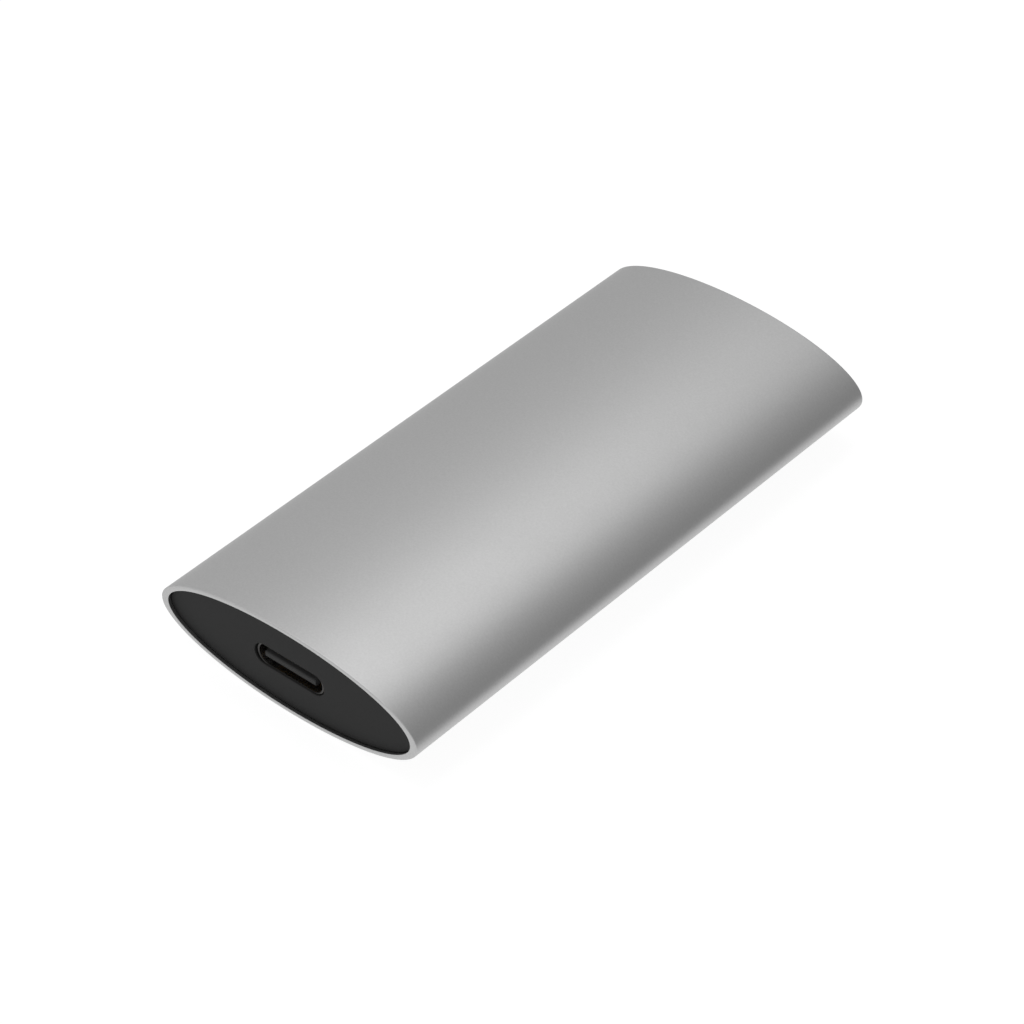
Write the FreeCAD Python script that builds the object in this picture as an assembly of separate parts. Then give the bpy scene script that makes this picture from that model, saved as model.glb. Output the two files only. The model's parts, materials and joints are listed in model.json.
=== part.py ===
import FreeCAD, Part
import math
import os

# External solid state drive: an extruded elliptical sleeve closed by two moulded caps.
# A moulded tray inside carries a bridge board with the port and a plug-in memory module.
# X runs across the width, Y from the port end to the rear end, Z up. Sizes are in millimetres.
# Heights are worked out from the sleeve's axis, and every piece is raised onto Z = 0 at the end.

# Sleeve: an aluminium extrusion, with a shallow seat machined into each mouth for a cap
body_width = 34.0
body_height = 10.63
body_length = 71.2
wall_side = 1.2
wall_crown = 0.85
rim_side = 0.91
rim_crown = 0.44
rim_break = 0.12

# Caps: flat moulded ovals, set a little below the rim, with two snap arms each
cap_recess = 0.4
cap_thickness = 1.5
cap_clearance = 0.05
cap_edge_bevel = 0.1
arm_width = 2.8
arm_thickness = 0.9
arm_length = 5.0
arm_side_gap = 0.5
hook_depth = 0.6
hook_length = 1.4

# Port: a reversible 24-contact socket behind an oval aperture in the front cap
aperture_width = 9.2
aperture_height = 2.5
aperture_lip = 0.2
aperture_bevel = 0.1
port_width = 8.34
port_height = 2.56
port_depth = 6.2
shell_wall = 0.3
shell_length = 7.35
shell_clearance = 0.05
leg_thickness = 0.25
leg_width = 1.0
leg_tip = 0.3
leg_front_offset = 2.6
leg_rear_offset = 6.6
tongue_width = 6.69
tongue_thickness = 0.7
tongue_setback = 0.2
tongue_nose = 0.1
insulator_tail = 0.6
insulator_clearance = 0.02
mid_plate_thickness = 0.15
mid_plate_setback = 0.5
contacts_per_row = 12
contact_pitch = 0.5
contact_width = 0.25
contact_thickness = 0.12
contact_setback = 0.55
contact_tail_step = 0.3

# Tray: a thin moulded trough that follows the lower half of the bore, flat-panelled inside
tray_clearance = 0.1
tray_wall = 0.7
trough_panels = 10
tray_end_gap = 0.1
latch_gap = 0.05
latch_margin = 0.3
latch_length = 6.0
hook_clearance = 0.15
rib_thickness = 0.9
rib_count = 3

# Bridge board and its two screws
board_width = 21.6
board_thickness = 0.8
board_end_gap = 0.25
board_margin = 1.5
board_corner = 1.0
board_gap = 0.12
board_screw_side_inset = 3.2
board_screw_inset = 2.4
board_screw_radius = 0.8
board_screw_bite = 1.1
board_screw_head_radius = 1.45
board_screw_head_height = 0.55
board_boss_radius = 1.9
screw_clearance = 0.03
hole_clearance = 0.1
bore_end_gap = 0.12

# Electronic packages on the bridge board
bridge_chip_size = 6.0
bridge_chip_height = 0.85
chip_gap = 1.2
column_inset = 4.2
regulator_x = 2.6
crystal_length = 3.2
crystal_width = 2.5
crystal_height = 0.75
crystal_corner = 0.3
inductor_size = 3.2
inductor_height = 1.6
inductor_corner = 0.4
regulator_size = 2.0
regulator_height = 0.75
package_bevel = 0.1
package_gap = 0.5
pin_mark_radius = 0.25
pin_mark_depth = 0.05
pin_mark_inset = 0.8
capacitor_length = 1.0
capacitor_width = 0.55
capacitor_height = 0.55
capacitor_pitch = 1.1
bridge_capacitor_count = 3

# Memory module: a standard 22 mm by 42 mm plug-in board
module_width = 22.0
module_length = 42.0
module_thickness = 0.8
module_rise = 2.4
module_edge_width = 19.85
module_edge_depth = 4.0
module_insertion = 3.9
key_width = 1.2
key_depth = 3.5
key_left_x = -5.625
key_right_x = 6.125
notch_radius = 1.75
controller_size = 7.0
controller_height = 1.0
flash_length = 12.0
flash_width = 18.0
flash_height = 1.2
flash_gap = 0.8
module_capacitor_count = 5

# Edge socket that takes the memory module
socket_side_margin = 0.2
socket_height = 4.0
socket_depth = 7.0
socket_bevel = 1.0
socket_clearance = 0.06
socket_peg_x = 8.5
socket_peg_radius = 0.45
socket_positions = 75
socket_pitch = 0.25
socket_contact_width = 0.2
socket_contact_thickness = 0.15
socket_contact_reach = 0.5
socket_contact_foot = 0.35
key_span = 2.0

# Module screw, its brass insert and the boss that holds them
boss_radius = 2.6
boss_end_gap = 0.35
insert_radius = 1.5
insert_length = 2.8
insert_groove = 0.2
insert_clearance = 0.02
module_screw_radius = 1.0
module_screw_bite = 2.2
module_screw_head_radius = 2.2
module_screw_head_height = 0.7
recess_width = 0.45
recess_depth = 0.35
recess_reach = 0.55

# Thermal pad between the memory packages and the sleeve
pad_width = 18.0
pad_gap = 0.05

# Sections of the sleeve, caps and tray, as half widths and half heights
half_width = body_width / 2
half_height = body_height / 2
bore_half_width = half_width - wall_side
bore_half_height = half_height - wall_crown
seat_half_width = half_width - rim_side
seat_half_height = half_height - rim_crown
tray_half_width = bore_half_width - tray_clearance
tray_half_height = bore_half_height - tray_clearance
trough_half_width = tray_half_width - tray_wall
trough_half_height = tray_half_height - tray_wall

# Places along the length
front_y = -body_length / 2
rear_y = body_length / 2
front_cap_face = front_y + cap_recess
front_cap_back = front_cap_face + cap_thickness
rear_cap_face = rear_y - cap_recess
rear_cap_back = rear_cap_face - cap_thickness
tray_front = front_cap_back + tray_end_gap
tray_rear = rear_cap_back - tray_end_gap
shell_front = front_cap_face + aperture_lip
shell_rear = shell_front + shell_length
tongue_front = front_cap_face + tongue_setback
insulator_front = shell_front + port_depth
insulator_rear = shell_rear + insulator_tail
module_rear = rear_cap_back - boss_end_gap - boss_radius
module_front = module_rear - module_length
socket_mouth = module_front + module_insertion
socket_front = socket_mouth - socket_depth
board_front = front_cap_back + board_end_gap
bridge_chip_y = socket_mouth + socket_contact_foot + chip_gap + bridge_chip_size / 2
board_rear = bridge_chip_y + bridge_chip_size / 2 + board_margin
board_screw_y = board_front + board_screw_inset
port_tail_rear = insulator_rear + contact_tail_step
power_row_y = (port_tail_rear + socket_front - socket_contact_foot) / 2
controller_y = module_front + module_edge_depth + package_gap + controller_size / 2
first_flash_y = controller_y + (controller_size + flash_length) / 2 + flash_gap
second_flash_y = first_flash_y + flash_length + flash_gap

# Heights from the sleeve's axis, which is also the port's centre line
shell_width = port_width + 2 * shell_wall
shell_height = port_height + 2 * shell_wall
board_top = -shell_height / 2
board_bottom = board_top - board_thickness
module_bottom = board_top + module_rise
module_top = module_bottom + module_thickness
memory_top = module_top + flash_height
latch_top = -arm_thickness / 2 - latch_gap

# Places across the width
arm_outer_x = trough_half_width - arm_side_gap
arm_inner_x = arm_outer_x - arm_width
board_screw_x = board_width / 2 - board_screw_side_inset
column_x = board_width / 2 - column_inset
socket_width = board_width - 2 * socket_side_margin


def vec(x, y, z):
    return FreeCAD.Vector(x, y, z)


def ellipse_prism(half_x, half_z, y_start, y_end):
    """An elliptical bar about the sleeve's axis, drawn as four quarter arcs."""
    curve = Part.Ellipse(vec(half_x, y_start, 0), vec(0, y_start, half_z), vec(0, y_start, 0))
    quarter = math.pi / 2
    arcs = [Part.ArcOfEllipse(curve, turn * quarter, (turn + 1) * quarter) for turn in range(4)]
    face = Part.Face(Part.Wire([arc.toShape() for arc in arcs]))
    return face.extrude(vec(0, y_end - y_start, 0))


def obround_prism(width, height, y_start, y_end):
    """A bar with a flat top and bottom and full-round ends, about the sleeve's axis."""
    radius = height / 2
    flat = width / 2 - radius
    edges = [
        Part.LineSegment(vec(-flat, y_start, radius), vec(flat, y_start, radius)),
        Part.Arc(vec(flat, y_start, radius), vec(flat + radius, y_start, 0), vec(flat, y_start, -radius)),
        Part.LineSegment(vec(flat, y_start, -radius), vec(-flat, y_start, -radius)),
        Part.Arc(vec(-flat, y_start, -radius), vec(-flat - radius, y_start, 0), vec(-flat, y_start, radius)),
    ]
    face = Part.Face(Part.Wire([edge.toShape() for edge in edges]))
    return face.extrude(vec(0, y_end - y_start, 0))


def block(x_span, y_span, z_span):
    """A rectangular block between two values on each axis, in either order."""
    low = vec(min(x_span), min(y_span), min(z_span))
    return Part.makeBox(
        abs(x_span[1] - x_span[0]), abs(y_span[1] - y_span[0]), abs(z_span[1] - z_span[0]), low
    )


def span(center, size):
    return (center - size / 2, center + size / 2)


def side_profile(points, x_span):
    """A flat outline of (y, z) points, drawn out across the width."""
    corners = [vec(min(x_span), y, z) for y, z in points]
    face = Part.Face(Part.makePolygon(corners + corners[:1]))
    return face.extrude(vec(abs(x_span[1] - x_span[0]), 0, 0))


def plan_profile(points, z_span):
    """A flat outline of (x, y) points, drawn upwards."""
    corners = [vec(x, y, min(z_span)) for x, y in points]
    face = Part.Face(Part.makePolygon(corners + corners[:1]))
    return face.extrude(vec(0, 0, abs(z_span[1] - z_span[0])))


def disc(x, y, radius, z_span):
    return Part.makeCylinder(radius, abs(z_span[1] - z_span[0]), vec(x, y, min(z_span)))


def turned(points, x, y):
    """A round piece from an outline of (radius, z) points, turned about a vertical line."""
    corners = [vec(radius, 0, z) for radius, z in points]
    face = Part.Face(Part.makePolygon(corners + corners[:1]))
    solid = face.revolve(vec(0, 0, 0), vec(0, 0, 1), 360)
    solid.translate(vec(x, y, 0))
    return solid


def edges_across(shape, y, reach_from, reach_to):
    """The edges in the plane at one y whose furthest point from the axis lies between two distances."""
    small = body_width / 1e6
    found = []
    for edge in shape.Edges:
        box = edge.BoundBox
        reach = max(abs(box.XMin), abs(box.XMax))
        if box.YLength < small and abs(box.YMin - y) < small and reach_from < reach < reach_to:
            found.append(edge)
    return found


def housing_sleeve():
    bar = ellipse_prism(half_width, half_height, front_y, rear_y)
    bore = ellipse_prism(bore_half_width, bore_half_height, front_y, rear_y)
    front_seat = ellipse_prism(seat_half_width, seat_half_height, front_y, front_cap_back)
    rear_seat = ellipse_prism(seat_half_width, seat_half_height, rear_cap_back, rear_y)
    sleeve = bar.cut([bore, front_seat, rear_seat])
    rims = []
    for end in (front_y, rear_y):
        rims += edges_across(sleeve, end, half_width - rim_side / 2, body_width)
    return sleeve.makeChamfer(rim_break, rims)


def cap_plate(face_y, back_y):
    half_x = seat_half_width - cap_clearance
    half_z = seat_half_height - cap_clearance
    plate = ellipse_prism(half_x, half_z, face_y, back_y)
    return plate.makeChamfer(cap_edge_bevel, edges_across(plate, face_y, 0, half_width))


def snap_arms(back_y, inward):
    """Two flat arms with a ramped hook on the underside of each tip."""
    top = arm_thickness / 2
    tip = back_y + inward * arm_length
    catch = tip - inward * hook_length
    outline = [
        (back_y, top),
        (tip, top),
        (tip, -top),
        (catch, -top - hook_depth),
        (catch, -top),
        (back_y, -top),
    ]
    spans = [(side * arm_inner_x, side * arm_outer_x) for side in (-1, 1)]
    return [side_profile(outline, x_span) for x_span in spans]


def front_cap():
    cap = cap_plate(front_cap_face, front_cap_back).fuse(snap_arms(front_cap_back, 1))
    aperture = obround_prism(aperture_width, aperture_height, front_cap_face, front_cap_back)
    pocket = obround_prism(
        shell_width + 2 * shell_clearance,
        shell_height + 2 * shell_clearance,
        shell_front,
        front_cap_back,
    )
    cap = cap.cut([aperture, pocket])
    lips = edges_across(cap, front_cap_face, 0, aperture_width / 2 + aperture_bevel)
    return cap.makeChamfer(aperture_bevel, lips)


def rear_cap():
    return cap_plate(rear_cap_face, rear_cap_back).fuse(snap_arms(rear_cap_back, -1))


def latch_blocks():
    """A solid corner at each end of the trough, under the snap arms."""
    blocks = []
    for side in (-1, 1):
        x_span = (side * (arm_inner_x - latch_margin), side * tray_half_width)
        blocks.append(block(x_span, (tray_front, tray_front + latch_length), (-half_height, latch_top)))
        blocks.append(block(x_span, (tray_rear - latch_length, tray_rear), (-half_height, latch_top)))
    return blocks


def hook_pockets():
    """The pockets in the latch blocks that the hooks drop into."""
    pockets = []
    for back_y, inward in ((front_cap_back, 1), (rear_cap_back, -1)):
        tip = back_y + inward * (arm_length + hook_clearance)
        catch = back_y + inward * (arm_length - hook_length - hook_clearance)
        for side in (-1, 1):
            x_span = (side * (arm_inner_x - hook_clearance), side * (arm_outer_x + hook_clearance))
            pockets.append(block(x_span, (catch, tip), (latch_top - hook_depth - hook_clearance, latch_top)))
    return pockets


def board_screw_places():
    return [(side * board_screw_x, board_screw_y) for side in (-1, 1)]


def tray_supports():
    """Cross ribs up to the trough's edge, bosses for the bridge board and the module's boss."""
    rib_places = [socket_front, board_rear - rib_thickness]
    spacing = (module_rear - boss_radius - board_rear) / (rib_count + 1)
    rib_places += [board_rear + spacing * (index + 1) for index in range(rib_count)]
    supports = []
    for rib_y in rib_places:
        y_span = (rib_y, rib_y + rib_thickness)
        supports.append(block((-half_width, half_width), y_span, (-half_height, 0)))
    for x, y in board_screw_places():
        supports.append(disc(x, y, board_boss_radius, (-half_height, board_bottom)))
    supports.append(disc(0, module_rear, boss_radius, (-half_height, module_bottom)))
    return supports


def tray_trough():
    """The hollow of the tray: flat panels whose corners lie on the lower half of an ellipse."""
    corners = []
    for index in range(trough_panels + 1):
        turn = math.pi * index / trough_panels
        x = trough_half_width * math.cos(turn)
        z = -trough_half_height * math.sin(turn)
        corners.append(vec(x, tray_front, z))
    face = Part.Face(Part.makePolygon(corners + corners[:1]))
    return face.extrude(vec(0, tray_rear - tray_front, 0))


def carrier_tray():
    bar = ellipse_prism(tray_half_width, tray_half_height, tray_front, tray_rear)
    lower_half = block((-half_width, half_width), (tray_front, tray_rear), (-half_height, 0))
    skin = bar.common(lower_half).cut(tray_trough())
    root = tray_wall / 2
    rooted = ellipse_prism(tray_half_width - root, tray_half_height - root, tray_front, tray_rear)
    tray = skin.fuse([piece.common(rooted) for piece in latch_blocks() + tray_supports()])
    cuts = hook_pockets()
    pilot_floor = board_bottom - board_screw_bite - bore_end_gap
    for x, y in board_screw_places():
        cuts.append(disc(x, y, board_screw_radius + screw_clearance, (pilot_floor, board_bottom)))
    insert_floor = module_bottom - insert_length - bore_end_gap
    cuts.append(disc(0, module_rear, insert_radius + insert_clearance, (insert_floor, module_bottom)))
    board_room = board_width / 2 + board_gap
    cuts.append(block((-board_room, board_room), (tray_front, board_rear + board_gap), (board_bottom, 0)))
    return tray.cut(cuts).removeSplitter()


def leg_spans():
    """The footprints of the port shell's four solder legs, as x and y spans."""
    outer = shell_width / 2
    places = []
    for side in (-1, 1):
        for offset in (leg_front_offset, leg_rear_offset):
            x_span = (side * (outer - leg_thickness), side * outer)
            places.append((x_span, span(shell_front + offset, leg_width)))
    return places


def widened(pair, gap):
    return (min(pair) - gap, max(pair) + gap)


def socket_peg_places():
    return [(side * socket_peg_x, (socket_front + socket_mouth) / 2) for side in (-1, 1)]


def bridge_board():
    board = block(span(0, board_width), (board_front, board_rear), (board_bottom, board_top))
    corners = [edge for edge in board.Edges if edge.BoundBox.ZLength > board_thickness / 2]
    board = board.makeFillet(board_corner, corners)
    depth = (board_bottom, board_top)
    holes = [disc(x, y, board_screw_radius + hole_clearance, depth) for x, y in board_screw_places()]
    holes += [disc(x, y, socket_peg_radius + hole_clearance, depth) for x, y in socket_peg_places()]
    for x_span, y_span in leg_spans():
        holes.append(block(widened(x_span, hole_clearance), widened(y_span, hole_clearance), depth))
    return board.cut(holes)


def port_shell():
    outside = obround_prism(shell_width, shell_height, shell_front, shell_rear)
    inside = obround_prism(port_width, port_height, shell_front, shell_rear)
    legs = [block(x_span, y_span, (board_bottom - leg_tip, 0)) for x_span, y_span in leg_spans()]
    return outside.fuse(legs).cut(inside).removeSplitter()


def port_contact_outlines():
    """The upper and lower contact from the side: along the tongue, then down to the bridge board."""
    face = tongue_thickness / 2
    start = tongue_front + contact_setback
    upper_tail = insulator_rear + contact_tail_step
    lower_tail = shell_rear + contact_tail_step
    outlines = []
    for top, tail in ((face, upper_tail), (contact_thickness - face, lower_tail)):
        under = top - contact_thickness
        outlines.append(
            [
                (start, top),
                (tail, top),
                (tail, board_top),
                (tail - contact_thickness, board_top),
                (tail - contact_thickness, under),
                (start, under),
            ]
        )
    return outlines


def port_contacts():
    solids = []
    for index in range(contacts_per_row):
        x_span = span((index - (contacts_per_row - 1) / 2) * contact_pitch, contact_width)
        solids += [side_profile(outline, x_span) for outline in port_contact_outlines()]
    return Part.makeCompound(solids)


def port_contact_recesses():
    """One recess a row, in which the contacts lie side by side."""
    row_width = (contacts_per_row - 1) * contact_pitch + contact_width + 2 * insulator_clearance
    return [side_profile(outline, span(0, row_width)) for outline in port_contact_outlines()]


def port_mid_plate():
    y_span = (tongue_front + mid_plate_setback, insulator_front)
    return block(span(0, tongue_width), y_span, span(0, mid_plate_thickness))


def port_insulator():
    base = obround_prism(
        port_width - 2 * insulator_clearance,
        port_height - 2 * insulator_clearance,
        insulator_front,
        insulator_rear,
    )
    face = tongue_thickness / 2
    outline = [
        (tongue_front, tongue_nose - face),
        (tongue_front, face - tongue_nose),
        (tongue_front + tongue_nose, face),
        (insulator_front, face),
        (insulator_front, -face),
        (tongue_front + tongue_nose, -face),
    ]
    tongue = side_profile(outline, span(0, tongue_width))
    body = base.fuse(tongue)
    return body.cut(port_contact_recesses() + [port_mid_plate()])


def package(x, y, size_x, size_y, floor, height):
    """A moulded chip body with bevelled top edges and a round mark at one corner."""
    body = block(span(x, size_x), span(y, size_y), (floor, floor + height))
    top = [edge for edge in body.Edges if edge.BoundBox.ZMin > floor + height / 2]
    body = body.makeChamfer(package_bevel, top)
    mark_x = x - size_x / 2 + pin_mark_inset
    mark_y = y - size_y / 2 + pin_mark_inset
    mark = disc(mark_x, mark_y, pin_mark_radius, (floor + height - pin_mark_depth, floor + height))
    return body.cut(mark)


def capacitor_row(x, y_first, count, floor):
    """Small ceramic blocks in line along the length."""
    solids = []
    for index in range(count):
        y_span = span(y_first + index * capacitor_pitch, capacitor_width)
        solids.append(block(span(x, capacitor_length), y_span, (floor, floor + capacitor_height)))
    return Part.makeCompound(solids)


def bridge_chip():
    return package(0, bridge_chip_y, bridge_chip_size, bridge_chip_size, board_top, bridge_chip_height)


def power_inductor():
    z_span = (board_top, board_top + inductor_height)
    body = block(span(column_x, inductor_size), span(power_row_y, inductor_size), z_span)
    corners = [edge for edge in body.Edges if edge.BoundBox.ZLength > inductor_height / 2]
    return body.makeChamfer(inductor_corner, corners)


def power_regulator():
    return package(regulator_x, power_row_y, regulator_size, regulator_size, board_top, regulator_height)


def clock_crystal():
    z_span = (board_top, board_top + crystal_height)
    body = block(span(-column_x, crystal_length), span(power_row_y, crystal_width), z_span)
    corners = [edge for edge in body.Edges if edge.BoundBox.ZLength > crystal_height / 2]
    return body.makeFillet(crystal_corner, corners)


def bridge_capacitors():
    first = power_row_y - (bridge_capacitor_count - 1) * capacitor_pitch / 2
    return capacitor_row(-regulator_x, first, bridge_capacitor_count, board_top)


def socket_contact_places():
    """The x place and the row of each contact, leaving out those where the key rib stands."""
    places = []
    for index in range(socket_positions):
        x = (index - (socket_positions - 1) / 2) * socket_pitch
        if abs(x - key_left_x) >= key_span / 2:
            places.append((x, index % 2))
    return places


def socket_contact_outlines():
    """The upper contact leaves by the back of the socket, and the lower one by its mouth."""
    upper = module_top + socket_clearance
    lower = module_bottom - socket_clearance
    thick = socket_contact_thickness
    tip = socket_mouth - socket_contact_reach
    back = socket_front - socket_contact_foot
    upper_outline = [
        (tip, upper),
        (tip, upper + thick),
        (back, upper + thick),
        (back, board_top),
        (back + thick, board_top),
        (back + thick, upper),
    ]
    root = socket_mouth - module_insertion + socket_contact_reach
    mouth = socket_mouth + socket_contact_foot
    lower_outline = [
        (root, lower),
        (mouth, lower),
        (mouth, board_top),
        (mouth - thick, board_top),
        (mouth - thick, lower - thick),
        (root, lower - thick),
    ]
    return [upper_outline, lower_outline]


def edge_socket_contacts():
    outlines = socket_contact_outlines()
    solids = []
    for x, row in socket_contact_places():
        solids.append(side_profile(outlines[row], span(x, socket_contact_width)))
    return Part.makeCompound(solids)


def socket_contact_recesses():
    """One recess a row on each side of the key rib, in which the contacts lie side by side."""
    end = (socket_positions - 1) / 2 * socket_pitch + socket_contact_width / 2 + socket_clearance
    rib = key_span / 2 - socket_contact_width / 2 - socket_clearance
    recesses = []
    for outline in socket_contact_outlines():
        recesses.append(side_profile(outline, (-end, key_left_x - rib)))
        recesses.append(side_profile(outline, (key_left_x + rib, end)))
    return recesses


def edge_socket():
    top = board_top + socket_height
    outline = [
        (socket_front, board_top),
        (socket_mouth, board_top),
        (socket_mouth, top),
        (socket_front + socket_bevel, top),
        (socket_front, top - socket_bevel),
    ]
    body = side_profile(outline, span(0, socket_width))
    pegs = [disc(x, y, socket_peg_radius, (board_bottom, board_top)) for x, y in socket_peg_places()]
    edge = module_edge_width / 2 + socket_clearance
    rib = key_width / 2 - socket_clearance
    rib_end = module_front + key_depth - key_width / 2
    y_span = (module_front - socket_clearance, socket_mouth)
    z_span = (module_bottom - socket_clearance, module_top + socket_clearance)
    slots = [
        block((-edge, key_left_x - rib), y_span, z_span),
        block((key_left_x + rib, edge), y_span, z_span),
        block((-edge, edge), (rib_end, socket_mouth), z_span),
    ]
    return body.fuse(pegs).cut(slots + socket_contact_recesses())


def memory_board():
    edge = module_edge_width / 2
    side = module_width / 2
    shoulder = module_front + module_edge_depth
    outline = [
        (-edge, module_front),
        (edge, module_front),
        (edge, shoulder),
        (side, shoulder),
        (side, module_rear),
        (-side, module_rear),
        (-side, shoulder),
        (-edge, shoulder),
    ]
    depth = (module_bottom, module_top)
    cuts = [disc(0, module_rear, notch_radius, depth)]
    for key_x in (key_left_x, key_right_x):
        end = module_front + key_depth - key_width / 2
        cuts.append(block(span(key_x, key_width), (module_front, end), depth))
        cuts.append(disc(key_x, end, key_width / 2, depth))
    return plan_profile(outline, depth).cut(cuts)


def memory_controller():
    return package(0, controller_y, controller_size, controller_size, module_top, controller_height)


def flash_chip(center_y):
    return package(0, center_y, flash_width, flash_length, module_top, flash_height)


def memory_capacitors():
    first = controller_y - (module_capacitor_count - 1) * capacitor_pitch / 2
    x = controller_size / 2 + package_gap + capacitor_length / 2
    rows = [capacitor_row(side * x, first, module_capacitor_count, module_top) for side in (-1, 1)]
    return Part.makeCompound([solid for row in rows for solid in row.Solids])


def cross_screw(x, y, shank_radius, length, seat_z, head_radius, head_height):
    """A flat-headed screw with a cross recess, its head standing on a seat."""
    top = seat_z + head_height
    outline = [
        (0, seat_z - length),
        (shank_radius, seat_z - length),
        (shank_radius, seat_z),
        (head_radius, seat_z),
        (head_radius, top - head_height / 2),
        (head_radius - head_height / 2, top),
        (0, top),
    ]
    reach = 2 * head_radius * recess_reach
    floor = top - recess_depth
    slots = [
        block(span(x, reach), span(y, recess_width), (floor, top)),
        block(span(x, recess_width), span(y, reach), (floor, top)),
    ]
    return turned(outline, x, y).cut(slots)


def module_screw():
    return cross_screw(
        0,
        module_rear,
        module_screw_radius,
        module_thickness + module_screw_bite,
        module_top,
        module_screw_head_radius,
        module_screw_head_height,
    )


def board_screws():
    length = board_thickness + board_screw_bite
    solids = []
    for x, y in board_screw_places():
        solids.append(
            cross_screw(
                x,
                y,
                board_screw_radius,
                length,
                board_top,
                board_screw_head_radius,
                board_screw_head_height,
            )
        )
    return Part.makeCompound(solids)


def threaded_insert():
    """A brass bush with a groove round its middle that locks it in the boss."""
    bore = module_screw_radius + screw_clearance
    top = module_bottom
    low = top - insert_length
    third = insert_length / 3
    waist = insert_radius - insert_groove
    outline = [
        (bore, low),
        (insert_radius, low),
        (insert_radius, low + third),
        (waist, low + third),
        (waist, top - third),
        (insert_radius, top - third),
        (insert_radius, top),
        (bore, top),
    ]
    return turned(outline, 0, module_rear)


def thermal_pad():
    """A soft pad that fills the space between the memory packages and the bore."""
    y_span = (controller_y - controller_size / 2, second_flash_y + flash_length / 2)
    pad = block(span(0, pad_width), y_span, (memory_top, half_height))
    bore = ellipse_prism(bore_half_width - pad_gap, bore_half_height - pad_gap, front_y, rear_y)
    return pad.common(bore)


pieces = {
    "housing_sleeve": housing_sleeve(),
    "front_cap": front_cap(),
    "rear_cap": rear_cap(),
    "carrier_tray": carrier_tray(),
    "bridge_board": bridge_board(),
    "port_shell": port_shell(),
    "port_insulator": port_insulator(),
    "port_mid_plate": port_mid_plate(),
    "port_contacts": port_contacts(),
    "bridge_chip": bridge_chip(),
    "power_inductor": power_inductor(),
    "power_regulator": power_regulator(),
    "clock_crystal": clock_crystal(),
    "bridge_capacitors": bridge_capacitors(),
    "edge_socket": edge_socket(),
    "edge_socket_contacts": edge_socket_contacts(),
    "memory_board": memory_board(),
    "memory_controller": memory_controller(),
    "flash_chip_front": flash_chip(first_flash_y),
    "flash_chip_rear": flash_chip(second_flash_y),
    "memory_capacitors": memory_capacitors(),
    "module_screw": module_screw(),
    "board_screws": board_screws(),
    "threaded_insert": threaded_insert(),
    "thermal_pad": thermal_pad(),
}

os.makedirs("parts", exist_ok=True)
for name, shape in pieces.items():
    shape.translate(vec(0, 0, half_height))
    shape.exportStep("parts/" + name + ".step")
    print(name, len(shape.Solids), "solids,", round(shape.Volume, 2), "mm3, valid", shape.isValid())
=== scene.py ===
# %% [markdown]
# # Dressing an external solid state drive
# The drive is a short aluminium tube of elliptical section, closed by two dark moulded caps. The front cap
# holds a reversible data port. The CAD frame already has every solid in its place, in metres, with the port
# end towards -Y and the floor at Z = 0. This lesson gives those solids their finishes, and puts smoother
# pieces of the same size over the few whose edges the camera sees.

# %% Load the CAD frame and keep its box
import json
import math

import bmesh
import bpy
from mathutils import Matrix, Vector


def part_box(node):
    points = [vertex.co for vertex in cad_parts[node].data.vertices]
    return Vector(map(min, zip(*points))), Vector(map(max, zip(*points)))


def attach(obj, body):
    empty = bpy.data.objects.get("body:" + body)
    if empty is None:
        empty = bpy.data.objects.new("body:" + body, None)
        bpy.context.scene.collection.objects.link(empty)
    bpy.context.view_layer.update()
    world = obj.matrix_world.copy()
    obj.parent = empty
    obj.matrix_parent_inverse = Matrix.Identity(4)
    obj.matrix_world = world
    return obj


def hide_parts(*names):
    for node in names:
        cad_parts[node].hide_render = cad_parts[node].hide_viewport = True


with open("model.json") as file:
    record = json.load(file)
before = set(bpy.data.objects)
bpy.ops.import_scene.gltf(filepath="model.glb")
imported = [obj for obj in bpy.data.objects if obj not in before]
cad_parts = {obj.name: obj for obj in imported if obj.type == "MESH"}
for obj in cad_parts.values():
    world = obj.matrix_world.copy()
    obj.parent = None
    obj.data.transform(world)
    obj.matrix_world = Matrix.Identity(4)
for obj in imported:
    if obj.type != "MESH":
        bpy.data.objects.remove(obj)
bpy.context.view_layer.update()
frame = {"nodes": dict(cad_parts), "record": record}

MM = 0.001

# %% [markdown]
# ## Colours and nodes
# A designer writes a colour as an sRGB hex value, and a shader works in linear light. One function turns the
# first into the second, so that each colour below can be checked with a colour picker. A second small
# function adds any node, sets its options, and links or fills its inputs, which keeps every tree below short.

# %% Helpers for colours and nodes


def linear(hex_colour):
    """An sRGB hex colour as linear RGBA."""
    shares = [int(hex_colour[i:i + 2], 16) / 255 for i in (1, 3, 5)]
    return [s / 12.92 if s <= 0.04045 else ((s + 0.055) / 1.055) ** 2.4 for s in shares] + [1.0]


def add_node(tree, kind, inputs=None, **options):
    """One node in a tree, with its options set and its inputs linked or filled."""
    node = tree.nodes.new(kind)
    for option, value in options.items():
        setattr(node, option, value)
    for socket, value in (inputs or {}).items():
        if isinstance(value, bpy.types.NodeSocket):
            tree.links.new(value, node.inputs[socket])
        else:
            node.inputs[socket].default_value = value
    return node


def combine(tree, operation, first, second):
    """The result of a Math node on two values."""
    inputs = {0: first, 1: second}
    return add_node(tree, "ShaderNodeMath", inputs, operation=operation).outputs["Value"]


print("mid grey in linear light:", round(linear("#808080")[0], 3))

# %% [markdown]
# ## Patterns of a real size
# A finish is easier to judge when its pattern has a real size, so these helpers take millimetres. One makes
# cloudy noise with grains about that wide, and one turns a pattern into a shallow relief. Two more let a
# pattern mix close shades, or vary a value such as the roughness. Object coordinates fix the pattern to the
# piece. Every finish ends in the same way, in one Principled shader.

# %% Helpers for finishes


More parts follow.
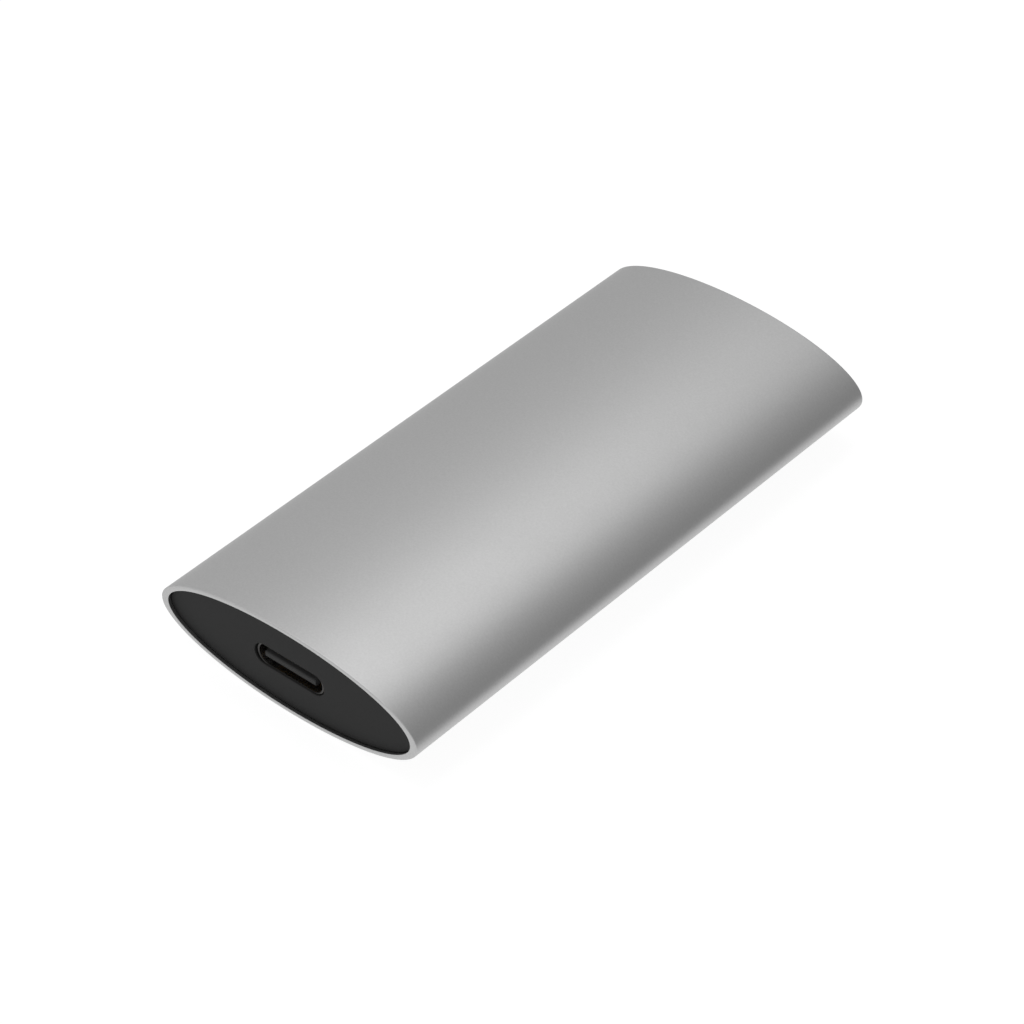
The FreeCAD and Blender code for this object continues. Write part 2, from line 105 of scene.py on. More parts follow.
def new_finish(name):
    """An empty material, its node tree, and the place of each point on the piece."""
    finish = bpy.data.materials.new(name)
    finish.use_nodes = True
    finish.node_tree.nodes.clear()
    place = add_node(finish.node_tree, "ShaderNodeTexCoord").outputs["Object"]
    return finish, finish.node_tree, place


def noise(tree, place, grain_mm):
    """A cloudy pattern from 0 to 1 whose grains have the given size."""
    inputs = {"Vector": place, "Scale": 1 / (grain_mm * MM)}
    return add_node(tree, "ShaderNodeTexNoise", inputs).outputs["Fac"]


def relief(tree, pattern, depth_mm):
    """A bump of the given depth that follows a pattern."""
    inputs = {"Height": pattern, "Distance": depth_mm * MM}
    return add_node(tree, "ShaderNodeBump", inputs).outputs["Normal"]


def mottled(tree, pattern, shades):
    """Two close colours mixed by a pattern from 0 to 1."""
    colour_a, colour_b, colour_out = 6, 7, 2
    inputs = {"Factor": pattern, colour_a: linear(shades[0]), colour_b: linear(shades[1])}
    return add_node(tree, "ShaderNodeMix", inputs, data_type="RGBA").outputs[colour_out]


def between(tree, pattern, limits):
    """A pattern from 0 to 1 as a value between two limits."""
    inputs = {"Value": pattern, "To Min": limits[0], "To Max": limits[1]}
    return add_node(tree, "ShaderNodeMapRange", inputs).outputs["Result"]


def close_finish(finish, settings):
    """A Principled shader with these settings goes to the material's output."""
    tree = finish.node_tree
    shader = add_node(tree, "ShaderNodeBsdfPrincipled", settings)
    add_node(tree, "ShaderNodeOutputMaterial", {"Surface": shader.outputs["BSDF"]})
    print("finish:", finish.name)


# %% [markdown]
# ## Bead-blasted, anodised aluminium
# The tube is extruded, blasted with fine glass beads and anodised clear. Blasting leaves tiny pits that
# spread each reflection into a soft band, and the oxide layer takes the sparkle off. A metallic shader gives
# that with a middling roughness, a very shallow noise bump for the pits, and faint clouds in the roughness,
# because blasting is never quite even. The real pits are near 0.05 mm, too fine for this picture, so they are
# drawn larger.

# %% Aluminium finish
PIT_MM, PIT_DEPTH_MM = 0.22, 0.006
BLAST_CLOUD_MM = 5.0
ALUMINIUM_SHADES = ("#BEBEBE", "#CCCCCC")
ALUMINIUM_ROUGHNESS = (0.42, 0.46)

aluminium, tree, place = new_finish("bead_blasted_anodised_aluminium")
pits = noise(tree, place, PIT_MM)
blasting = noise(tree, place, BLAST_CLOUD_MM)
metal = {
    "Base Color": mottled(tree, pits, ALUMINIUM_SHADES),
    "Metallic": 1.0,
    "Roughness": between(tree, blasting, ALUMINIUM_ROUGHNESS),
    "Normal": relief(tree, pits, PIT_DEPTH_MM),
}
close_finish(aluminium, metal)

# %% [markdown]
# ## Moulded and pressed materials
# The caps are moulded in dark grey ABS from a spark-textured mould, the tray in black ABS, the port's base
# and the card socket in dark grey glass-filled nylon, and the chip packages in black epoxy. The inductor is
# pressed ferrite, the capacitors are fired ceramic, and the thermal pad is cast silicone. All are dull and
# even, and differ in shade, gloss and the size of their grain, so one function makes them: two close shades
# in fine clouds, a grain bump, and a roughness that follows the grain.

# %% Moulded finishes


def moulded(name, shades, roughness, specular, grain_mm, depth_mm):
    """A dull material from a mould or a press, with an even grain of the given size."""
    finish, tree, place = new_finish(name)
    grain = noise(tree, place, grain_mm)
    body = {
        "Base Color": mottled(tree, grain, shades),
        "Roughness": between(tree, grain, roughness),
        "Specular IOR Level": specular,
        "Normal": relief(tree, grain, depth_mm),
    }
    close_finish(finish, body)
    return finish


cap_abs = moulded(
    "spark_textured_grey_abs", shades=("#202020", "#242424"), roughness=(0.52, 0.62),
    specular=0.2, grain_mm=0.18, depth_mm=0.004,
)
tray_abs = moulded(
    "moulded_black_abs", shades=("#19191A", "#1E1E20"), roughness=(0.42, 0.52),
    specular=0.4, grain_mm=0.30, depth_mm=0.004,
)
port_nylon = moulded(
    "moulded_dark_grey_nylon", shades=("#3B3B3B", "#424242"), roughness=(0.50, 0.60),
    specular=0.1, grain_mm=0.12, depth_mm=0.002,
)
chip_epoxy = moulded(
    "moulded_black_epoxy", shades=("#1B1B1C", "#232324"), roughness=(0.55, 0.66),
    specular=0.4, grain_mm=0.10, depth_mm=0.003,
)
ferrite = moulded(
    "pressed_grey_ferrite", shades=("#3A3938", "#4A4846"), roughness=(0.60, 0.72),
    specular=0.4, grain_mm=0.15, depth_mm=0.006,
)
ceramic = moulded(
    "fired_tan_ceramic", shades=("#8A6F4E", "#A08560"), roughness=(0.45, 0.60),
    specular=0.4, grain_mm=0.12, depth_mm=0.002,
)
silicone = moulded(
    "cast_blue_grey_silicone", shades=("#7F8A95", "#8B96A0"), roughness=(0.62, 0.74),
    specular=0.3, grain_mm=0.60, depth_mm=0.010,
)

# %% [markdown]
# ## Plated and milled metals
# The port's shell, the mid plate, the screws and the crystal's can are steel with a bright nickel plating.
# The shell's mouth gets a black colour instead, which is painted shade that keeps it from shining out of the
# slot. The contacts and the insert are plated in gold over nickel. The seats in the tube's mouths are milled
# after blasting and left bare, and their darker colour is painted shade in the recess.
# Drawing, stamping and milling all leave fine lines along the metal, so stretched noise gives them: the
# Mapping node leaves it long in one direction only.

# %% Lined metal finishes


def lined_metal(name, shades, roughness, line_mm, stretch):
    """A bare or plated metal whose fine lines run along Y."""
    finish, tree, place = new_finish(name)
    along = add_node(tree, "ShaderNodeMapping", {"Vector": place, "Scale": (1.0, 1 / stretch, 1.0)})
    lines = noise(tree, along.outputs["Vector"], line_mm)
    metal = {
        "Base Color": mottled(tree, lines, shades),
        "Metallic": 1.0,
        "Roughness": between(tree, lines, roughness),
    }
    close_finish(finish, metal)
    return finish


nickel_steel = lined_metal(
    "nickel_plated_drawn_steel", shades=("#9A9896", "#ABA9A6"), roughness=(0.22, 0.34),
    line_mm=0.06, stretch=12.0,
)
# The mouth's black colour is painted shade: it keeps the mouth from shining out of the slot.
mouth_black_painted_shade = lined_metal(
    "black_nickel_painted_shade", shades=("#3E3D3C", "#484746"), roughness=(0.24, 0.36),
    line_mm=0.06, stretch=12.0,
)
# The seats' darker colour is painted shade in the recess, on top of a smoother milled surface.
seat_aluminium_painted_shade = lined_metal(
    "milled_aluminium_with_painted_shade", shades=("#9A9A9A", "#A4A4A4"), roughness=(0.30, 0.38),
    line_mm=0.05, stretch=10.0,
)
gold_plate = lined_metal(
    "gold_plated_stamped_bronze", shades=("#D6AC58", "#E2BB6A"), roughness=(0.34, 0.44),
    line_mm=0.06, stretch=8.0,
)

# %% [markdown]
# ## Glass-epoxy laminate
# Both boards are woven glass in epoxy under a dark green solder mask. The weave shows through the mask as a
# very shallow grid, so two crossed bands of waves make the bump, with one wave to a strand. At a scale of 1,
# Blender's wave texture draws a band every tau / 20 of a unit, and the strand's scale allows for that.

# %% Laminate finish
STRAND_MM, WEAVE_DEPTH_MM = 0.5, 0.004
BAND_AT_SCALE_1 = math.tau / 20
MASK_SHADES = ("#12402A", "#174A31")
MASK_ROUGHNESS = (0.30, 0.38)

laminate, tree, place = new_finish("masked_glass_epoxy_laminate")
strands = []
for across in "XY":
    band_inputs = {"Vector": place, "Scale": BAND_AT_SCALE_1 / (STRAND_MM * MM)}
    bands = add_node(tree, "ShaderNodeTexWave", band_inputs, bands_direction=across)
    strands.append(bands.outputs["Fac"])
weave = combine(tree, "MULTIPLY", *strands)
mask = {
    "Base Color": mottled(tree, weave, MASK_SHADES),
    "Roughness": between(tree, weave, MASK_ROUGHNESS),
    "Normal": relief(tree, weave, WEAVE_DEPTH_MM),
}
close_finish(laminate, mask)

# %% [markdown]
# ## Finishes for the CAD nodes
# Each solid that keeps its CAD shape only needs its finish. The record's slots already say which solids share
# one, so a table from slot to finish dresses every node in one loop.

# %% Dress the CAD nodes
SLOT_FINISHES = {
    "anodised_aluminium": aluminium,
    "cap_plastic": cap_abs,
    "tray_plastic": tray_abs,
    "board_laminate": laminate,
    "connector_steel": nickel_steel,
    "connector_resin": port_nylon,
    "contact_gold": gold_plate,
    "chip_resin": chip_epoxy,
    "pressed_ferrite": ferrite,
    "capacitor_ceramic": ceramic,
    "thermal_silicone": silicone,
}
for part in frame["record"]["subparts"]:
    solid = frame["nodes"][part["node"]].data
    solid.materials.clear()
    solid.materials.append(SLOT_FINISHES[part["material_slot"]])
print("dressed slots:", len(SLOT_FINISHES))

# %% [markdown]
# ## From a mesh to a piece
# Each new mesh is finished in the same way. Doubles are merged, the faces are made to point outwards, and
# edges sharper than a set angle stay sharp. A Weighted Normal modifier then shades wide faces flat up to
# their narrow rounded edges. A piece may also get a second finish on some of its faces.

# %% Helpers for finished pieces
SHARP_ANGLE = math.radians(35)
MERGE_MM = 0.0005


def fill_mesh(mesh, work):
    """The geometry worked on in a bmesh goes into a mesh."""
    work.to_mesh(mesh)
    work.free()


def tidy_mesh(mesh):
    """Merged doubles, faces outwards, smooth shading between sharp edges."""
    work = bmesh.new()
    work.from_mesh(mesh)
    bmesh.ops.remove_doubles(work, verts=work.verts, dist=MERGE_MM * MM)
    bmesh.ops.recalc_face_normals(work, faces=work.faces)
    fill_mesh(mesh, work)
    mesh.shade_smooth()
    mesh.set_sharp_from_angle(angle=SHARP_ANGLE)


def place_piece(name, mesh, finish, node):
    """An object at the origin that stands for a CAD node and rides on the root body."""
    tidy_mesh(mesh)
    mesh.materials.clear()
    mesh.materials.append(finish)
    piece = bpy.data.objects.new(name, mesh)
    bpy.context.scene.collection.objects.link(piece)
    shading = piece.modifiers.new("even_shading", "WEIGHTED_NORMAL")
    shading.keep_sharp = True
    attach(piece, "root")
    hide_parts(node)
    print(name, "faces:", len(mesh.polygons))
    return piece


def refinish(piece, finish, wanted):
    """A second finish for the faces whose centre, in millimetres, is wanted."""
    piece.data.materials.append(finish)
    faces = [face for face in piece.data.polygons if wanted(face.center / MM)]
    for face in faces:
        face.material_index = 1
    print(piece.name, "faces in", finish.name + ":", len(faces))


# %% [markdown]
# ## Trees with named inputs
# A Geometry Nodes tree is a rule for a shape, and its inputs are the sizes that the rule needs. Two helpers
# open and close a tree: the end of each makes its copies real and gives them a finish. A third runs the tree
# as a modifier on a host mesh. Its result becomes a plain mesh with new_from_object.

# %% Helpers for Geometry Nodes trees


def open_tree(name, inputs, output):
    """A Geometry Nodes tree with its inputs and its output named, and its input sockets."""
    tree = bpy.data.node_groups.new(name, "GeometryNodeTree")
    for label, kind in inputs:
        tree.interface.new_socket(label, in_out="INPUT", socket_type=kind)
    tree.interface.new_socket(output, in_out="OUTPUT", socket_type="NodeSocketGeometry")
    return tree, add_node(tree, "NodeGroupInput").outputs


def close_tree(tree, geometry, finish, output):
    """Real geometry in one finish goes to the tree's output."""
    real = add_node(tree, "GeometryNodeRealizeInstances", {"Geometry": geometry})
    finish_inputs = {"Geometry": real.outputs["Geometry"], "Material": finish}
    finished = add_node(tree, "GeometryNodeSetMaterial", finish_inputs)
    add_node(tree, "NodeGroupOutput", {output: finished.outputs["Geometry"]})
    print(tree.name, "nodes:", len(tree.nodes))


def run_tree(tree, host_mesh, settings):
    """The mesh that a Geometry Nodes tree makes from a host mesh."""
    host = bpy.data.objects.new("host", host_mesh)
    bpy.context.scene.collection.objects.link(host)
    modifier = host.modifiers.new("tree", "NODES")
    modifier.node_group = tree
    for socket in tree.interface.items_tree:
        if socket.in_out == "INPUT" and socket.name in settings:
            modifier[socket.identifier] = settings[socket.name]
    graph = bpy.context.evaluated_depsgraph_get()
    mesh = bpy.data.meshes.new_from_object(host.evaluated_get(graph), depsgraph=graph)
    host.modifiers.clear()
    bpy.data.objects.remove(host)
    return mesh


# %% [markdown]
# ## A tree that sweeps a wall round an ellipse
# The tube and the plain rear cap follow one rule: every section across the length is an ellipse. So a wall
# can be drawn as a flat line whose points hold half a width, a place along the length and half a height, and
# a sweep turns that line round the ellipse. The first half of the tree rounds the marked corners of the line
# and draws a unit circle. It stores the points of both as vectors, to carry them through the sweep.

# %% The sweep tree: wall line and circle
SWEEP_INPUTS = (
    ("Wall Line", "NodeSocketGeometry"),
    ("Edge Rounding", "NodeSocketFloat"),
    ("Rounding Steps", "NodeSocketInt"),
    ("Segments", "NodeSocketInt"),
    ("Finish", "NodeSocketMaterial"),
)
CORNER_SHARE = "rounded_corner"

sweep, given = open_tree("sweep_wall_round_ellipse", SWEEP_INPUTS, "Piece")
line = add_node(sweep, "GeometryNodeMeshToCurve", {"Mesh": given["Wall Line"]})
share = add_node(sweep, "GeometryNodeInputNamedAttribute", {"Name": CORNER_SHARE}, data_type="FLOAT")
fillet_inputs = {
    "Curve": line.outputs["Curve"],
    "Count": given["Rounding Steps"],
    "Radius": combine(sweep, "MULTIPLY", share.outputs["Attribute"], given["Edge Rounding"]),
    "Limit Radius": True,
}
rounded = add_node(sweep, "GeometryNodeFilletCurve", fillet_inputs, mode="POLY")
circle_inputs = {"Resolution": given["Segments"], "Radius": 1.0}
circle = add_node(sweep, "GeometryNodeCurvePrimitiveCircle", circle_inputs)
position = add_node(sweep, "GeometryNodeInputPosition").outputs["Position"]
kept = {}
for label, curve in (("wall", rounded), ("around", circle)):
    kept[label] = add_node(sweep, "GeometryNodeCaptureAttribute", {"Geometry": curve.outputs["Curve"]})
    kept[label].capture_items.new("VECTOR", label)
    sweep.links.new(position, kept[label].inputs[label])
print("sweep tree keeps:", list(kept))

# %% [markdown]
# The second half shrinks the wall's line to a point, so that the sweep itself only joins the faces. It then
# moves each point to its own place: half a width times the circle's X, the place along the length, and half
# a height times the circle's Y.

# %% The sweep tree: sweep and stretch
origin_inputs = {"Geometry": kept["wall"].outputs["Geometry"], "Position": (0, 0, 0)}
origin = add_node(sweep, "GeometryNodeSetPosition", origin_inputs)
swept_inputs = {"Curve": kept["around"].outputs["Geometry"], "Profile Curve": origin.outputs["Geometry"]}
swept = add_node(sweep, "GeometryNodeCurveToMesh", swept_inputs)
wall = add_node(sweep, "ShaderNodeSeparateXYZ", {"Vector": kept["wall"].outputs["wall"]}).outputs
around = add_node(sweep, "ShaderNodeSeparateXYZ", {"Vector": kept["around"].outputs["around"]}).outputs
spot_inputs = {
    "X": combine(sweep, "MULTIPLY", wall["X"], around["X"]),
    "Y": wall["Y"],
    "Z": combine(sweep, "MULTIPLY", wall["Z"], around["Y"]),
}
spot = add_node(sweep, "ShaderNodeCombineXYZ", spot_inputs)
stretch_inputs = {"Geometry": swept.outputs["Mesh"], "Position": spot.outputs["Vector"]}
stretched = add_node(sweep, "GeometryNodeSetPosition", stretch_inputs)
close_tree(sweep, stretched.outputs["Geometry"], given["Finish"], "Piece")


def wall_line(points, closed):
    """A line of (half width, y, half height, share of the rounding) points as a mesh, in millimetres."""
    mesh = bpy.data.meshes.new("wall_line")
    edges = [(i, i + 1) for i in range(len(points) - 1)]
    if closed:
        edges.append((len(points) - 1, 0))
    mesh.from_pydata([Vector(point[:3]) * MM for point in points], edges, [])
    corner = mesh.attributes.new(CORNER_SHARE, "FLOAT", "POINT")
    corner.data.foreach_set("value", [point[3] for point in points])
    return mesh


# %% [markdown]
# ## The sleeve
# The tube's wall is drawn once, as a line of eight points: outside, rim, the shallow seat that is milled for
# a cap, the bore, and the same again at the other end. The four rim corners are marked for rounding, because
# a blasted edge is never sharp and that round is what catches the light. The milled edge of a seat is rounded
# less.

# %% Sweep the sleeve
SEGMENTS = 256
ROUNDING_STEPS = 4
RIM_ROUNDING_MM = 0.12
OUTER_EDGE, SEAT_EDGE, SHARP = 1.0, 0.35, 0.0
RIM_SIDE_MM, RIM_CROWN_MM = 0.91, 0.44
WALL_SIDE_MM, WALL_CROWN_MM = 1.2, 0.85
SEAT_DEPTH_MM = 1.9

low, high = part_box("housing_sleeve")
half_width, half_height = (high.x - low.x) / 2 / MM, (high.z - low.z) / 2 / MM
front, rear = low.y / MM, high.y / MM
axis_height = (high.z + low.z) / 2
seat_width, seat_height = half_width - RIM_SIDE_MM, half_height - RIM_CROWN_MM
bore_width, bore_height = half_width - WALL_SIDE_MM, half_height - WALL_CROWN_MM
sleeve_line = wall_line(
    [
        (half_width, front, half_height, OUTER_EDGE),
        (half_width, rear, half_height, OUTER_EDGE),
        (seat_width, rear, seat_height, SEAT_EDGE),
        (seat_width, rear - SEAT_DEPTH_MM, seat_height, SHARP),
        (bore_width, rear - SEAT_DEPTH_MM, bore_height, SHARP),
        (bore_width, front + SEAT_DEPTH_MM, bore_height, SHARP),
        (seat_width, front + SEAT_DEPTH_MM, seat_height, SHARP),
        (seat_width, front, seat_height, SEAT_EDGE),
    ],
    closed=True,
)
sleeve_settings = {
    "Edge Rounding": RIM_ROUNDING_MM * MM,
    "Rounding Steps": ROUNDING_STEPS,
    "Segments": SEGMENTS,
    "Finish": aluminium,
}
to_axis = Matrix.Translation((0, 0, axis_height))
sleeve_mesh = run_tree(sweep, sleeve_line, sleeve_settings)
sleeve_mesh.transform(to_axis)
sleeve = place_piece("sleeve_shell", sleeve_mesh, aluminium, "housing_sleeve")

# %% [markdown]
# ## The milled seats
# The seats' own faces get a smoother finish with a darker colour. The smoothness mirrors the dark cap, and
# the darker colour is painted shade in the recess; together they draw a dark line round it. A face belongs to
# a seat if its centre lies inside the seat's ellipse, give or take a trace, and no deeper than the seat.

# %% Refinish the seats
SEAT_REACH = 1.002


def in_seat(center):
    """Whether a face's centre lies on a milled seat, past the rounded edge."""
    reach = math.hypot(center.x / seat_width, (center.z - axis_height / MM) / seat_height)
    depth = rear - abs(center.y)
    return reach < SEAT_REACH and RIM_ROUNDING_MM * SEAT_EDGE < depth <= SEAT_DEPTH_MM + MERGE_MM


# The seat faces get the darker colour, which is painted shade in the recess.
refinish(sleeve, seat_aluminium_painted_shade, in_seat)

# %% [markdown]
# ## The caps' snap arms
# Each cap has two flat arms behind it, with a ramped hook under each tip that drops into a pocket of the
# tray. They are hidden in the tube, but a cap without them couldn't hold, so both caps get them. An arm is a
# flat outline seen from the side and drawn out across the width.

# %% Helpers for the snap arms
ARM_INNER_MM, ARM_OUTER_MM = 11.7, 14.5
ARM_LENGTH_MM, ARM_THICKNESS_MM = 5.0, 0.9
HOOK_DEPTH_MM, HOOK_LENGTH_MM = 0.6, 1.4
BOTH_SIDES = (-1, 1)


def draw_out(work, outline, x_from, x_to):
    """Adds to a bmesh a solid from (y, z) points, in millimetres from the tube's axis."""
    sides = []
    for x in (x_from, x_to):
        sides.append([work.verts.new((x * MM, y * MM, z * MM + axis_height)) for y, z in outline])
    work.faces.new(sides[0])
    work.faces.new(sides[1][::-1])
    for i in range(len(outline)):
        j = (i + 1) % len(outline)
        work.faces.new((sides[0][j], sides[0][i], sides[1][i], sides[1][j]))


def add_snap_arms(work, back, inward):
    """Two arms that start at the cap's back and run inwards along the length."""
    top = ARM_THICKNESS_MM / 2
    tip = back + inward * ARM_LENGTH_MM
    catch = tip - inward * HOOK_LENGTH_MM
    hook = (catch, -top - HOOK_DEPTH_MM)
    outline = [(back, top), (tip, top), (tip, -top), hook, (catch, -top), (back, -top)]
    for side in BOTH_SIDES:
        draw_out(work, outline, side * ARM_INNER_MM, side * ARM_OUTER_MM)


print("snap arm width in mm:", round(ARM_OUTER_MM - ARM_INNER_MM, 2))

# %% [markdown]
# ## The rear cap
# The plain cap is an oval plate, so the sweep makes it too. Its line starts and ends on the tube's axis, and
# merging the doubles closes the two poles.

# %% Sweep the rear cap
CAP_ROUNDING_MM = 0.05
CAP_THICKNESS_MM = 1.5

cap_low, cap_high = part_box("rear_cap")
cap_width, cap_height = (cap_high.x - cap_low.x) / 2 / MM, (cap_high.z - cap_low.z) / 2 / MM
rear_face = cap_high.y / MM
rear_back = rear_face - CAP_THICKNESS_MM
rear_line = wall_line(
    [
        (0, rear_face, 0, SHARP),
        (cap_width, rear_face, cap_height, OUTER_EDGE),
        (cap_width, rear_back, cap_height, SHARP),
        (0, rear_back, 0, SHARP),
    ],
    closed=False,
)
cap_settings = dict(sleeve_settings)
cap_settings["Edge Rounding"] = CAP_ROUNDING_MM * MM
cap_settings["Finish"] = cap_abs
rear_mesh = run_tree(sweep, rear_line, cap_settings)
rear_mesh.transform(to_axis)
work = bmesh.new()
work.from_mesh(rear_mesh)
add_snap_arms(work, rear_back, inward=-1)
fill_mesh(rear_mesh, work)
place_piece("rear_cap_plate", rear_mesh, cap_abs, "rear_cap")

# %% [markdown]
# ## Lofted rings
# The front cap is an oval outside and has the port's slot inside, which has straight sides and round ends. No
# single rule gives both, so it is lofted: a list of rings with the same number of points, each joined to the
# next and the last to the first. A rounded edge is a few more rings along a quarter of a circle.

# %% Helpers for lofted rings
RING_POINTS = 192
RING_TURNS = [math.tau * (i + 0.5) / RING_POINTS for i in range(RING_POINTS)]


def oval_ring(half_x, half_z, y):
    """A ring on an ellipse."""
    return [(half_x * math.cos(turn), y, half_z * math.sin(turn)) for turn in RING_TURNS]


def slot_ring(width, height, y):
    """A ring with straight sides and round ends."""
    radius = height / 2
    flat = width / 2 - radius
    ring = []
    for turn in RING_TURNS:
        x = math.copysign(flat, math.cos(turn)) + radius * math.cos(turn)
        ring.append((x, y, radius * math.sin(turn)))
    return ring


def loft(work, rings):
    """Joins rings, given in millimetres from the tube's axis, into one closed shell."""
    loops = []
    for ring in rings:
        loops.append([work.verts.new((x * MM, y * MM, z * MM + axis_height)) for x, y, z in ring])
    for first, second in zip(loops, loops[1:] + loops[:1]):
        for i in range(RING_POINTS):
            j = (i + 1) % RING_POINTS
            work.faces.new((first[i], first[j], second[j], second[i]))


def quarter_turn(radius):
    """How far a rounded edge runs in from each of its two faces, step by step."""
    turns = [math.pi / 2 * step / ROUNDING_STEPS for step in range(ROUNDING_STEPS + 1)]
    return [(radius - radius * math.cos(turn), radius - radius * math.sin(turn)) for turn in turns]


print("points in a ring:", RING_POINTS)

# %% [markdown]
# ## The front cap
# The rings run from the cap's back over its rounded outer edge and across the flat face. They turn in over
# the slot's lip, and the last ones make the pocket behind it that holds the port.

# %% Loft the front cap
SLOT_WIDTH_MM, SLOT_HEIGHT_MM = 9.2, 2.5
SLOT_LIP_MM = 0.2
SLOT_ROUNDING_MM = 0.1
PORT_POCKET_HEIGHT_MM = 3.26

front_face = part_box("front_cap")[0].y / MM
front_back = front_face + CAP_THICKNESS_MM
rings = [oval_ring(cap_width, cap_height, front_back)]
for inset, drop in quarter_turn(CAP_ROUNDING_MM):
    rings.append(oval_ring(cap_width - inset, cap_height - inset, front_face + drop))
for drop, growth in quarter_turn(SLOT_ROUNDING_MM):
    rings.append(slot_ring(SLOT_WIDTH_MM + 2 * growth, SLOT_HEIGHT_MM + 2 * growth, front_face + drop))
rings.append(slot_ring(SLOT_WIDTH_MM, SLOT_HEIGHT_MM, front_face + SLOT_LIP_MM))
rings.append(slot_ring(SLOT_WIDTH_MM, PORT_POCKET_HEIGHT_MM, front_face + SLOT_LIP_MM))
rings.append(slot_ring(SLOT_WIDTH_MM, PORT_POCKET_HEIGHT_MM, front_back))
work = bmesh.new()
loft(work, rings)
add_snap_arms(work, front_back, inward=1)
front_mesh = bpy.data.meshes.new("front_cap_plate")
fill_mesh(front_mesh, work)
place_piece("front_cap_plate", front_mesh, cap_abs, "front_cap")

# %% [markdown]
# ## The port's shell
# The shell is drawn from thin steel strip, so its mouth is rounded inside and out and four legs come down
# from its sides through the board. It is lofted from slot-shaped rings in the same way, and the legs are
# drawn out. Only the mouth is painted black, as painted shade: the bright wall behind it lights the tongue
# and the contacts.

# %% Loft the port's shell
SHELL_WALL_MM = 0.3
MOUTH_ROUNDING_MM = 0.1
LEG_WIDTH_MM, LEG_THICKNESS_MM, LEG_BEVEL_MM = 1.0, 0.25, 0.25
LEG_OFFSETS_MM = (2.6, 6.6)

shell_low, shell_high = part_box("port_shell")
shell_front, shell_rear = shell_low.y / MM, shell_high.y / MM
shell_width = (shell_high.x - shell_low.x) / MM
shell_height = 2 * (shell_high.z - axis_height) / MM
leg_tip = (shell_low.z - axis_height) / MM
mouth_width, mouth_height = shell_width - 2 * SHELL_WALL_MM, shell_height - 2 * SHELL_WALL_MM
rings = [slot_ring(shell_width, shell_height, shell_rear)]
for inset, drop in quarter_turn(MOUTH_ROUNDING_MM):
    rings.append(slot_ring(shell_width - 2 * inset, shell_height - 2 * inset, shell_front + drop))
for drop, growth in quarter_turn(MOUTH_ROUNDING_MM):
    rings.append(slot_ring(mouth_width + 2 * growth, mouth_height + 2 * growth, shell_front + drop))
rings.append(slot_ring(mouth_width, mouth_height, shell_rear))
work = bmesh.new()
loft(work, rings)
for offset in LEG_OFFSETS_MM:
    leg_front = shell_front + offset - LEG_WIDTH_MM / 2
    leg_rear = leg_front + LEG_WIDTH_MM
    outline = [
        (leg_front, 0),
        (leg_front, leg_tip + LEG_BEVEL_MM),
        (leg_front + LEG_BEVEL_MM, leg_tip),
        (leg_rear - LEG_BEVEL_MM, leg_tip),
        (leg_rear, leg_tip + LEG_BEVEL_MM),
        (leg_rear, 0),
    ]
    for side in BOTH_SIDES:
        draw_out(work, outline, side * (shell_width / 2 - LEG_THICKNESS_MM), side * shell_width / 2)
shell_mesh = bpy.data.meshes.new("port_shell_drawn")
fill_mesh(shell_mesh, work)
# The shell's mouth is painted black as painted shade; the faces behind it get the bright nickel.
port_shell = place_piece("port_shell_drawn", shell_mesh, mouth_black_painted_shade, "port_shell")
refinish(port_shell, nickel_steel, lambda center: center.y > shell_front + MOUTH_ROUNDING_MM)

# %% [markdown]
# ## The port's tongue
# The tongue is moulded in one with the base that fills the back of the shell. Its CAD solid has all its
# recesses, and only the two bevels at its nose look too crisp. So a copy of that solid is merged, its flat
# triangles are joined, and a Bevel modifier rounds the four long edges there. It comes before the Weighted
# Normal modifier, which then shades the rounds as well.

# %% Round the tongue's nose
NOSE_ROUNDING_MM = 0.07
NOSE_EDGE_LENGTH_MM = 6.0
NOSE_DEPTH_MM = 0.15
FLAT_ANGLE = math.radians(1)

tongue_low, tongue_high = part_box("port_insulator")
tongue_mesh = frame["nodes"]["port_insulator"].data.copy()
work = bmesh.new()
work.from_mesh(tongue_mesh)
bmesh.ops.remove_doubles(work, verts=work.verts, dist=MERGE_MM * MM)
bmesh.ops.dissolve_limit(work, angle_limit=FLAT_ANGLE, verts=work.verts, edges=work.edges)
weights = work.edges.layers.float.new("bevel_weight_edge")
nose_edges = 0
for edge in work.edges:
    first, second = (vert.co / MM for vert in edge.verts)
    at_nose = max(first.y, second.y) < tongue_low.y / MM + NOSE_DEPTH_MM
    if at_nose and abs(first.x - second.x) > NOSE_EDGE_LENGTH_MM:
        edge[weights] = 1.0
        nose_edges += 1
fill_mesh(tongue_mesh, work)
print("nose edges:", nose_edges)
tongue = place_piece("port_tongue", tongue_mesh, port_nylon, "port_insulator")
rounding = tongue.modifiers.new("nose_rounding", "BEVEL")
rounding.limit_method = "WEIGHT"
rounding.width = NOSE_ROUNDING_MM * MM
rounding.segments = ROUNDING_STEPS
tongue.modifiers.move(1, 0)

# %% [markdown]
# ## A tree that repeats along a row
# The port's contacts are all alike and half a millimetre apart. A tree that sets copies on the points of a
# line says that more clearly than twelve meshes would: the count, the pitch and the first place are its
# inputs.

# %% The row tree
ROW_INPUTS = (
    ("Pair", "NodeSocketGeometry"),
    ("Count", "NodeSocketInt"),
    ("Pitch", "NodeSocketVector"),
    ("First Place", "NodeSocketVector"),
    ("Finish", "NodeSocketMaterial"),
)

row, given = open_tree("repeat_along_row", ROW_INPUTS, "Row")
line_inputs = {"Count": given["Count"], "Start Location": given["First Place"], "Offset": given["Pitch"]}
places = add_node(row, "GeometryNodeMeshLine", line_inputs)
copy_inputs = {"Points": places.outputs["Mesh"], "Instance": given["Pair"]}
copies = add_node(row, "GeometryNodeInstanceOnPoints", copy_inputs)
close_tree(row, copies.outputs["Instances"], given["Finish"], "Row")

